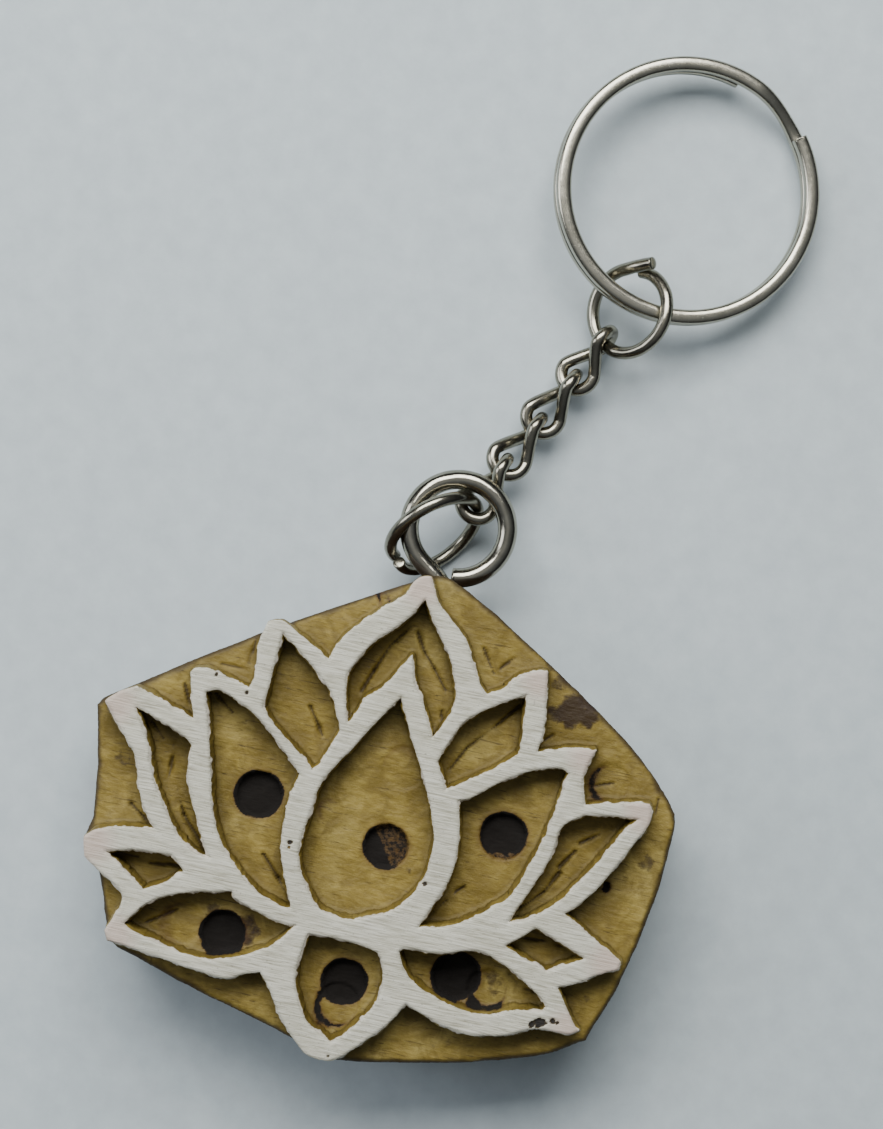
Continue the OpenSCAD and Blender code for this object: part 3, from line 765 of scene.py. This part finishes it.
def sweep(name, line, reference, section, material, closed=False, swell=None, ends=((0.0, 1.0),),
          dents=0.012, seed=0):
    # section carried along the line: its second axis lies along `reference`, less its part along the line,
    # and its first is second x direction.
    # ends: (how far past the end, size) of each finishing ring, last one closed with a fan
    direction = np.gradient(line, axis=0)
    if closed:
        direction = np.roll(line, -1, 0) - np.roll(line, 1, 0)
    direction = unit(direction)
    second = unit(reference - (reference * direction).sum(1)[:, None] * direction)
    first = np.cross(second, direction)
    scale = np.ones(len(line)) if swell is None else swell
    if not closed:
        pre = [(line[0] - direction[0] * d, first[0], second[0], s * scale[0]) for d, s in reversed(ends)]
        post = [(line[-1] + direction[-1] * d, first[-1], second[-1], s * scale[-1]) for d, s in ends]
        line = np.concatenate([[p[0] for p in pre], line, [p[0] for p in post]])
        first = np.concatenate([[p[1] for p in pre], first, [p[1] for p in post]])
        second = np.concatenate([[p[2] for p in pre], second, [p[2] for p in post]])
        scale = np.concatenate([[p[3] for p in pre], scale, [p[3] for p in post]])
    n, k = len(line), len(section)
    ring = section[None] * scale[:, None, None]
    verts = line[:, None] + ring[:, :, 0:1] * first[:, None] + ring[:, :, 1:2] * second[:, None]
    # tumbled wire is never quite even
    flow = np.arange(n)[:, None] * 0.11 + np.zeros((1, k))
    around = np.cos(np.arange(k) / k * 2 * math.pi)[None] * 1.5 + np.zeros((n, 1))
    bump = 1 + dents * layeredNoise(flow + seed * 13.7, around, 1.0, 200 + seed)
    if closed:
        fade = np.minimum(np.arange(n), np.arange(n)[::-1]) / 20.0
        bump = 1 + (bump - 1) * np.clip(fade, 0, 1)[:, None]
    verts = line[:, None] + (verts - line[:, None]) * bump[:, :, None]
    verts = verts.reshape(-1, 3)
    i = np.arange(n if closed else n - 1)
    a, b = i[:, None] * k + np.arange(k), ((i + 1) % n)[:, None] * k + np.arange(k)
    quads = np.stack([a, np.roll(a, -1, 1), np.roll(b, -1, 1), b], -1).reshape(-1, 4)
    tris = None
    if not closed:
        verts = np.concatenate([verts, line[:1], line[-1:]])
        s = np.arange(k)
        t = np.roll(s, -1)
        last = (n - 1) * k
        tris = np.concatenate([np.stack([t, s, np.full(k, n * k)], 1),
                               np.stack([s + last, t + last, np.full(k, n * k + 1)], 1)])
    return meshObject(name, verts, tris, material, True, None, quads)


def arc(radius, start, stop, count, centre=(0, 0, 0)):
    # centre + (radius cos a, radius sin a, 0), a from start to stop in degrees
    a = np.radians(np.linspace(start, stop, count))
    return np.stack([radius * np.cos(a), radius * np.sin(a), 0 * a], 1) + np.array(centre)


def easyCurve(a, da, b, db, count, pull=0.4):
    # cubic curve that leaves a along da and reaches b along db
    s = np.linspace(0, 1, count)[:, None]
    reach = np.linalg.norm(b - a) * pull
    return ((1 - s) ** 3 * a + 3 * (1 - s) ** 2 * s * (a + da * reach)
            + 3 * (1 - s) * s * s * (b - db * reach) + s ** 3 * b)


# What a user would change about the wire pieces. Lengths in millimetres.
wires = {
    "linkWire": 1.2, "flatRadius": 1.6, "pinRadius": 1.42, "linkLength": 4.99,
    "jumpWire": 1.2, "eyeWire": 1.8, "eyeRadius": 4.55, "eyeCentre": (0.0, 27.5, 5.5),
    "ringWidth": 1.4, "coil": 1.25, "coilGap": 0.03, "ringRadius": 11.8,
}


def chainLink(name, at, turn, seed):
    # a quarter-turn twisted oval: flat bend, leg, upright bend, leg; a leg leaves each bend along its end
    flat, pin = wires["flatRadius"], wires["pinRadius"]
    far = wires["linkLength"] - pin
    bendStart, bendStop = 98, 292
    bendCount, hookCount, legCount = 60, 44, 34
    bend = arc(flat, bendStart, bendStop, bendCount)
    upright = arc(pin, 90, -90, hookCount)
    hook = np.stack([far + upright[:, 0], 0 * upright[:, 0], upright[:, 1]], 1)
    out, back = np.radians(bendStop + 90), np.radians(bendStart - 90)
    leaveFlat = np.array([math.cos(out), math.sin(out), 0])
    reachFlat = np.array([-math.cos(back), -math.sin(back), 0])
    along = np.array([1.0, 0, 0])
    upper = easyCurve(bend[-1], leaveFlat, hook[0], along, legCount, 0.15)[1:-1]
    lower = easyCurve(hook[-1], -along, bend[0], reachFlat, legCount, 0.15)[1:-1]
    line = np.concatenate([bend, upper, hook, lower])
    # reference turns from straight up on the flat bend to sideways on the upright one
    lean = np.radians(np.concatenate([
        np.zeros(bendCount), np.linspace(0, 90, legCount)[1:-1],
        np.full(hookCount, 90), np.linspace(90, 0, legCount)[1:-1]]))
    reference = np.stack([0 * lean, np.sin(lean), np.cos(lean)], 1)
    line, reference = turned(line, at, turn), turned(reference, (0, 0, 0), turn)
    section = roundSection(wires["linkWire"] / 2, 24)
    return sweep(name, line, reference, section, wireMaterial, True, dents=0.02, seed=seed)


def jumpRing(name, radius, overlap, lean, splayRadius, splay, at, turn, seed):
    # ring cut and closed by hand: height is (radius + x) sin(lean) on one half, minus that on the other;
    # splay is how far, in degrees, the upper half's end runs on along a wider arc past the cut
    upper = arc(radius, 180, overlap, 110)
    if splay:
        tip = arc(splayRadius, 0, -splay, 16, (radius - splayRadius, 0, 0))[1:]
        upper = np.concatenate([upper, turned(tip, (0, 0, 0), (0, 0, overlap))])
    lower = arc(radius, 180, 360, 110)
    halves = []
    for half, sign in ((upper, -1), (lower, 1)):
        halves.append(turned(half + (radius, 0, 0), (0, 0, 0), (0, sign * lean, 0)) - (radius, 0, 0))
    line = np.concatenate([halves[0][::-1], halves[1][1:]])
    line = resample(line, 240)
    reference = np.tile([0.0, 0.0, 1.0], (len(line), 1))
    swell = np.ones(len(line))
    swell[:14] = swell[-14:] = 0.985
    line, reference = turned(line, at, turn), turned(reference, (0, 0, 0), turn)
    # side cutters leave a slightly pinched, nearly flat end
    return sweep(name, line, reference, roundSection(wires["jumpWire"] / 2, 28), wireMaterial, False, swell,
                 ((0.0, 1.0), (0.05, 0.97), (0.085, 0.86), (0.10, 0.5), (0.105, 0.02)), 0.02, seed)


def screwEye(name):
    # loop, then the wire crosses back under its own end and bends into the shank
    c = np.array(wires["eyeCentre"])
    loopStop = 214
    loop = arc(wires["eyeRadius"], -84, loopStop, 200, c)
    leave = math.radians(loopStop + 90)
    leaveLoop = np.array([math.cos(leave), math.sin(leave), 0])
    foot = np.array([0.0, 20.6, c[2]])
    inward = np.array([0.0, -1.0, 0])
    neck = easyCurve(loop[-1], leaveLoop, foot, inward, 50, 0.42)[1:]
    shank = foot + np.linspace(0, 7, 20)[1:, None] * inward
    line = resample(np.concatenate([loop, neck, shank]), 300)
    reference = np.tile([0.0, 0.0, 1.0], (len(line), 1))
    return sweep(name, line, reference, roundSection(wires["eyeWire"] / 2, 36), eyeMaterial, False, None,
                 ((0.0, 1.0), (0.07, 0.98), (0.13, 0.90), (0.17, 0.74), (0.19, 0.4), (0.195, 0.02)), 0.01, 5)


def splitRing(name, at, turn):
    # one flattened wire wound twice: upper coil, a short slope between 68.4 and 37.5 degrees, lower coil
    slopeTop, slopeFoot = 68.4, 37.5
    step = wires["coil"] + wires["coilGap"]
    a = np.linspace(slopeFoot + 360, slopeFoot - 321, 1100)
    fall = softStep((slopeTop - a) / (slopeTop - slopeFoot))
    r = wires["ringRadius"] + 0.02 * np.sin(np.radians(a) * 1.5)
    line = np.stack([r * np.cos(np.radians(a)), r * np.sin(np.radians(a)), step * (0.5 - fall)], 1)
    reference = np.tile([0.0, 0.0, 1.0], (len(line), 1))
    # the wire is pressed narrower where it steps down
    swell = 1 - 0.13 * np.exp(-((a - 50) / 13) ** 2)
    line, reference = turned(line, at, turn), turned(reference, (0, 0, 0), turn)
    section = flatSection(wires["ringWidth"], wires["coil"], 0.33)
    return sweep(name, line, reference, section, ringMaterial, False, swell,
                 ((0.0, 1.0), (0.05, 0.985), (0.08, 0.93), (0.095, 0.8), (0.10, 0.02)), 0.006, 9)


print("wire")
# where each piece lies: place in millimetres, then turns about X, Y and Z in degrees
pieces = {
    "screw_eye": screwEye("screwEye"),
    "lower_jump_ring": jumpRing(
        "lowerJumpRing", 4.47, -12, 4.3, 6, 0, (-2.0, 26.83, 3.89), (-62.33, 7.22, -129.96), 11),
    "chain_link_1": chainLink("chainLink1", (7.92, 44.09, 2.08), (-17.45, -5.23, 63.3), 21),
    "chain_link_2": chainLink("chainLink2", (5.6, 39.48, 1.97), (0, 0, 63.3), 22),
    "chain_link_3": chainLink("chainLink3", (3.31, 34.93, 2.71), (0, 11.9, 63.3), 23),
    "chain_link_4": chainLink("chainLink4", (1.27, 30.29, 3.7), (0, 10.8, 67.5), 24),
    "upper_jump_ring": jumpRing(
        "upperJumpRing", 3.915, 20, 4.6, 30, 6.6, (11.35, 50.57, 3.71), (-38.67, 0.09, 90.39), 12),
    "split_ring": splitRing("splitRing", (14.3, 62.7, 3.07), (-2.92, 7.52, -0.38)),
}
bodies = {
    "screw_eye": "stamp", "lower_jump_ring": "ring_a", "chain_link_1": "link_1", "chain_link_2": "link_2",
    "chain_link_3": "link_3", "chain_link_4": "link_4", "upper_jump_ring": "ring_b",
    "split_ring": "key_ring_body"}
for node, piece in pieces.items():
    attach(piece, bodies[node])
    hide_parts(node)


def paperFloor(name):
    # pale cool-grey matt card with a faint fibre mottle
    m, t = newMaterial(name)
    plain = placed(t, (1, 1, 1))
    mottle = noiseNode(t, plain, 2.2, 6.0, 0.6)
    colour = ramp(t, mottle, [(0.3, "#B4BFC4"), (0.7, "#BFCACE")])
    bump = bumped(t, (noiseNode(t, plain, 0.6, 4.0), 0), 0.03, 0.3)
    shader = addNode(t, "ShaderNodeBsdfPrincipled", {"Roughness": 0.75, "Specular IOR Level": 0.3},
                     {"Base Color": (colour, 0), "Normal": (bump, 0)})
    finishMaterial(t, shader)
    return m


# the table lies just below the lower jump ring, the lowest piece
tableHalf, tableZ = 2500.0, -0.6
corners = np.array([[-tableHalf, -tableHalf, tableZ], [tableHalf, -tableHalf, tableZ],
                    [tableHalf, tableHalf, tableZ], [-tableHalf, tableHalf, tableZ]])
card = paperFloor("Matt card, pale grey")
floor = meshObject("floor", corners, None, card, False, None, np.array([[0, 1, 2, 3]]))


def areaLight(name, at, aim, width, height, power, colour):
    # rectangle of light at `at`, facing `aim`; lengths in millimetres, power in watts
    data = bpy.data.lights.new(name, "AREA")
    data.shape = "RECTANGLE"
    data.size, data.size_y = width * mm, height * mm
    data.energy = power
    data.color = linearRgb(colour)[:3]
    o = bpy.data.objects.new(name, data)
    at, aim = np.array(at, float) * mm, np.array(aim, float) * mm
    o.location = at
    o.rotation_euler = Vector(aim - at).to_track_quat("-Z", "Y").to_euler()
    bpy.context.scene.collection.objects.link(o)


areaLight("skylight", (-80, 290, 370), (0, 40, 0), 420, 260, 3.75, "#FDFDFA")
areaLight("windowLeft", (-420, 40, 260), (0, 20, 0), 200, 300, 0.9, "#F4F8FF")
# a dim room: dark near the horizon, paler overhead
world = bpy.data.worlds.new("room")
world.use_nodes = True
sky = world.node_tree
where = addNode(sky, "ShaderNodeTexCoord")
height = addNode(sky, "ShaderNodeSeparateXYZ", None, {"Vector": (where, "Generated")})
tone = ramp(sky, height, [(0.0, "#3C3F42"), (0.12, "#3C3F42"), (0.4, "#53565A"),
                          (0.75, "#989DA2"), (0.92, "#B4BABF"), (1.0, "#EEF1F4")], out="Z")
sky.links.new(tone.outputs[0], sky.nodes["Background"].inputs[0])
sky.nodes["Background"].inputs[1].default_value = 0.5
bpy.context.scene.world = world

camera = bpy.data.objects.new("camera", bpy.data.cameras.new("camera"))
camera.data.lens = 87.9
camera.data.clip_start, camera.data.clip_end = 0.01, 5.0
camera.location = (-0.84 * mm, 23.94 * mm, 260 * mm)
camera.rotation_euler = (0, 0, math.radians(12))
bpy.context.scene.collection.objects.link(camera)
bpy.context.scene.camera = camera

print("finish")
